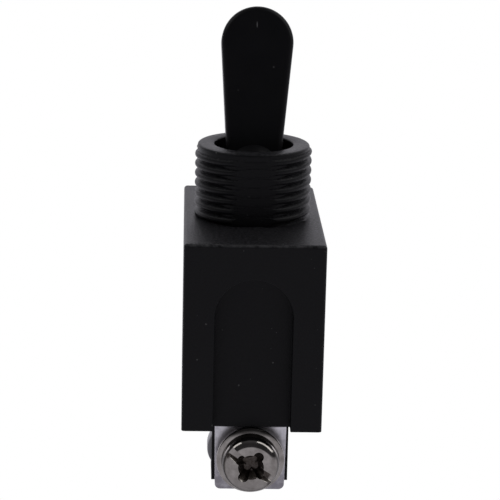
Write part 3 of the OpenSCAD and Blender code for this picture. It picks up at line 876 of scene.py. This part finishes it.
# the fixed contact's shank goes through the front tab, the stop and rivet through the rear one
front_plate = make_plate("front_plate", PLATE_TOP, plate_high.y)
contact_low, contact_high = box_mm("fixed_contact")
contact_r, contact_y = 0.65, (contact_low.y + contact_high.y) / 2
carve(front_plate, rod("contact_hole", contact_r, (0, contact_y, PLATE_TOP - 2),
                       (0, contact_y, PLATE_TOP + 1), 32))
rear_low, rear_high = box_mm("rear_terminal")
rear_plate = make_plate("rear_plate", rear_high.z, -rear_low.y)
under, over, clear = rear_high.z - 2, rear_high.z + 1, 0.1
window_x, window_half = STOP_X + clear, STOP_HALF + clear
carve(rear_plate, block("post_window", (-window_x, -STOP_Y - window_half, under),
                        (window_x, -STOP_Y + window_half, over)),
      rod("rivet_hole", RIVET_R, (0, 0, under), (0, 0, over), 32))
rear_plate.data.transform(Matrix.Rotation(math.pi, 4, "Z"))
for plate, node in ((front_plate, "front_terminal"), (rear_plate, "rear_terminal")):
    tidy(plate)
    soften(plate, 0.07)
    smooth(plate)
    dress(plate, tin, "tinned_brass", "body", node)

for make, name, material, body, node in (
        (make_screw, "screw_machined", nickel, "{}_screw", "terminal_screw"),
        (make_washer, "flat_washer", nickel, "{}_clamp", "washer"),
        (make_spring_washer, "lock_washer", nickel, "{}_clamp", "spring_washer"),
        (make_nut, "nut_strip", dull_nickel, "body", "nut_plate")):
    front = make()
    front.name = front.data.name = f"front_{name}"
    rear = copy_turned(front, f"rear_{name}")
    for piece, end in ((front, "front"), (rear, "rear")):
        dress(piece, material, "nickel_steel", body.format(end), f"{end}_{node}")

# the spring sits between the lever's bore and the plunger and rides on the lever; the share of
# its length left at full plunger travel is worked out, but nothing shortens it
cad_spring = frame["nodes"]["plunger_spring"]
coil = bpy.data.objects.new("plunger_coil", cad_spring.data.copy())
bpy.context.scene.collection.objects.link(coil)
tidy(coil)
smooth(coil, 60)
dress(coil, spring_wire, "spring_steel", "lever", "plunger_spring")
pivot = Vector((0, 0, PIVOT_Z * MM))
down = Matrix.Rotation(-LEAN, 3, "X") @ Vector((0, 0, -1))
reach = [(v.co - pivot).dot(down) for v in coil.data.vertices]
slide = next(j for j in frame["joints"] if j["name"] == "plunger_slide")
travel = max(abs(limit) for limit in slide["range_m"])
1 - travel / (max(reach) - min(reach))
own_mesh(coil)

for node, material in (("plunger", nylon), ("contact_rocker", brass), ("rocker_cradle", brass),
                       ("cradle_rivet", brass), ("moving_contact", silver),
                       ("fixed_contact", silver)):
    for holder in frame["nodes"][node].material_slots:
        holder.material = material


# ------------------------------------------------------------ camera, floor and light

def aim_camera():
    azimuth, pitch, roll = math.radians(1.995), math.radians(15.357), math.radians(1.313)
    distance, aside, above = 215.199, 0.2223, 3.7498
    ahead = Vector((math.sin(azimuth) * math.cos(pitch),
                    math.cos(azimuth) * math.cos(pitch), -math.sin(pitch)))
    level = Vector((math.cos(azimuth), -math.sin(azimuth), 0))
    upright = level.cross(ahead)
    right = math.cos(roll) * level + math.sin(roll) * upright
    up = math.cos(roll) * upright - math.sin(roll) * level
    place = (-aside * right - above * up - distance * ahead) * MM
    data = bpy.data.cameras.new("camera")
    data.sensor_width, data.lens = 36, 149.545
    data.clip_start, data.clip_end = 0.01, 50
    camera = bpy.data.objects.new("camera", data)
    camera.matrix_world = Matrix.Translation(place) @ Matrix(
        (right, up, -ahead)).transposed().to_4x4()
    bpy.context.scene.collection.objects.link(camera)
    bpy.context.scene.camera = camera


def sees_backdrop(b, behind):
    """1 for the camera, and for reflections and refractions that run to the backdrop."""
    rays = b.node("ShaderNodeLightPath").socket.node
    camera, glossy, through = (Value(b, rays.outputs[f"Is {kind} Ray"])
                               for kind in ("Camera", "Glossy", "Transmission"))
    return camera.at_least(glossy.at_least(through) * behind)


def lay_floor():
    wide, deep, middle_y = 4, 2, 0.97
    deselect()
    bpy.ops.mesh.primitive_plane_add(size=1, location=(0, middle_y, cad_bounds[0].z),
                                     scale=(wide, deep, 1))
    floor = started("floor")
    material, b = finish_named("white_floor")
    matt = b.node("ShaderNodeBsdfDiffuse", inputs={"Color": (0.86, 0.86, 0.86, 1)})
    unseen = b.node("ShaderNodeBsdfDiffuse", inputs={"Color": (0.5, 0.5, 0.5, 1)})
    glow = b.node("ShaderNodeEmission", inputs={"Color": (1, 1, 1, 1), "Strength": 1.02})
    backdrop = b.node("ShaderNodeMixShader", inputs={0: 0.12, 1: glow, 2: matt})
    seen = sees_backdrop(b, b.axes()[1].above(0))
    look = b.node("ShaderNodeMixShader", inputs={0: seen, 1: unseen, 2: backdrop})
    b.node("ShaderNodeOutputMaterial", inputs={"Surface": look})
    floor.data.materials.append(material)


def light_tent():
    """White all round for the camera and behind for reflections, dim in front."""
    world = bpy.data.worlds.new("tent")
    bpy.context.scene.world = world
    world.use_nodes = True
    b = Board(world.node_tree)
    _, back, height = b.split(b.node("ShaderNodeTexCoord", out="Generated"))
    behind = (back * 2.2 - 1.0).clamped()
    below = (0.5 - height * 6).clamped()
    above = (height * 4 - 3.2).at_least(0)
    level = 0.035 + behind * 0.91 + below * (1 - behind) * 0.40 + above * 0.05
    seen = sees_backdrop(b, behind)
    strength = level * (1 - seen) + seen
    camera = b.node("ShaderNodeLightPath", out="Is Camera Ray")
    colour = b.mix(camera, (1.0, 0.98, 1.055), (1, 1, 1))
    light = b.node("ShaderNodeBackground", inputs={"Color": colour, "Strength": strength})
    b.node("ShaderNodeOutputWorld", inputs={"Surface": light})


def softbox(name, place, wide, tall, radiance):
    data = bpy.data.lights.new(name, "AREA")
    data.shape, data.size, data.size_y = "RECTANGLE", wide, tall
    data.energy = radiance * math.pi * wide * tall
    lit = bpy.data.objects.new(name, data)
    aim = (Vector((0, 0, -0.02)) - Vector(place)).to_track_quat("-Z", "Y").to_matrix()
    lit.matrix_world = Matrix.Translation(place) @ aim.to_4x4()
    bpy.context.scene.collection.objects.link(lit)


aim_camera()
lay_floor()
light_tent()
softbox("left_softbox", (-0.42, -0.01, 0.44), wide=0.35, tall=0.32, radiance=1.2)
softbox("right_softbox", (0.44, -0.01, 0.40), wide=0.35, tall=0.60, radiance=1.2)

bpy.context.scene.view_settings.view_transform = "Standard"
